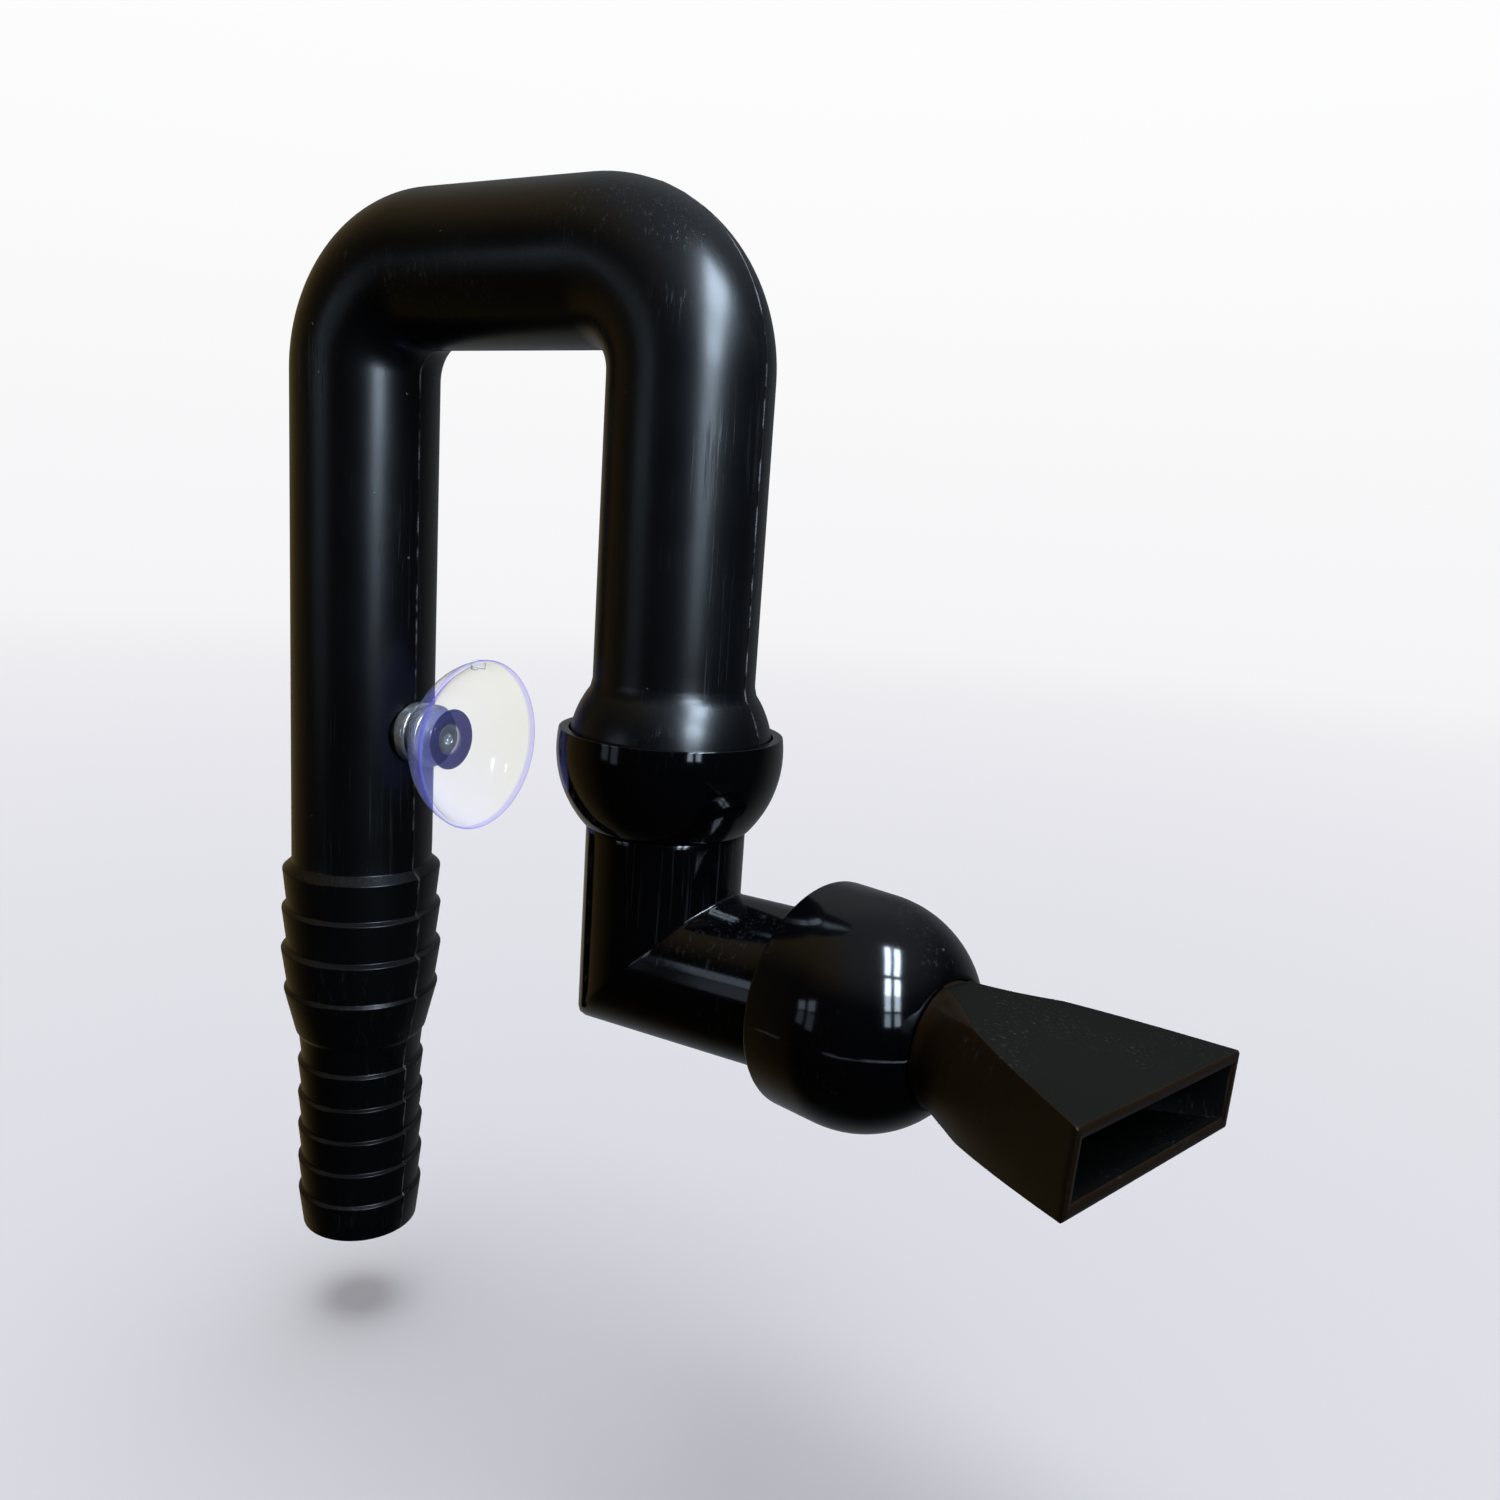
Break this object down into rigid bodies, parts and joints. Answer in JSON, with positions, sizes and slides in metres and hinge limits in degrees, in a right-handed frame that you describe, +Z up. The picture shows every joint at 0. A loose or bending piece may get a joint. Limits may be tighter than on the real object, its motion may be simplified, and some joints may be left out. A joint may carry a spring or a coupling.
{
  "type": "over-the-rim aquarium return pipe with fan nozzle",
  "caption": "Black inverted-U aquarium return pipe with stepped hose barb, suction-cup stay, mitred elbow, two ball joints and a flat fan nozzle.",
  "frame": {"origin": "centre of the hose inlet's open end, on the inlet leg's axis", "axes": "+Z up the inlet leg; +X across the tank wall, from the inlet leg to the outlet leg and on along the elbow's arm; +Y completes the right-handed frame"},
  "size_m": [0.1602, 0.0508, 0.1802],
  "materials": {
    "pipe_plastic": "satin",
    "joint_plastic": "gloss",
    "nozzle_plastic": "matte",
    "clear_pvc": "clear, blue-violet at the edge",
    "plated_steel": "nickel plate",
    "brass": "turned"
  },
  "bodies": {
    "pipe": {"u_pipe": "pipe_plastic", "thread_insert": "brass", "lock_nut": "plated_steel", "flange_washer": "plated_steel", "cup_screw": "plated_steel"},
    "cup": {"suction_cup": "clear_pvc"},
    "upper_socket": {"upper_socket": "joint_plastic"},
    "elbow": {"elbow": "joint_plastic"},
    "nozzle_socket": {"nozzle_socket": "joint_plastic"},
    "nozzle": {"fan_nozzle": "nozzle_plastic"}
  },
  "joints": [
    {"name": "cup_turn", "type": "hinge", "parent": "pipe", "child": "cup", "pos_m": [0.0169, 0, 0.094], "axis": [1, 0, 0], "continuous": true},
    {"name": "elbow_tilt", "type": "hinge", "parent": "pipe", "child": "upper_socket", "pos_m": [0.0633, 0, 0.0989], "axis": [0, 1, 0], "range_deg": [-16, 16]},
    {"name": "elbow_swivel", "type": "hinge", "parent": "upper_socket", "child": "elbow", "pos_m": [0.0633, 0, 0.0989], "axis": [0, 0, 1], "range_deg": [-120, 120]},
    {"name": "nozzle_tilt", "type": "hinge", "parent": "elbow", "child": "nozzle_socket", "pos_m": [0.0978, 0, 0.0665], "axis": [0, 0, 1], "range_deg": [-2.4, 29.6]},
    {"name": "nozzle_swivel", "type": "hinge", "parent": "nozzle_socket", "child": "nozzle", "pos_m": [0.0978, 0, 0.0665], "axis": [0.972, -0.2351, 0], "continuous": true}
  ]
}
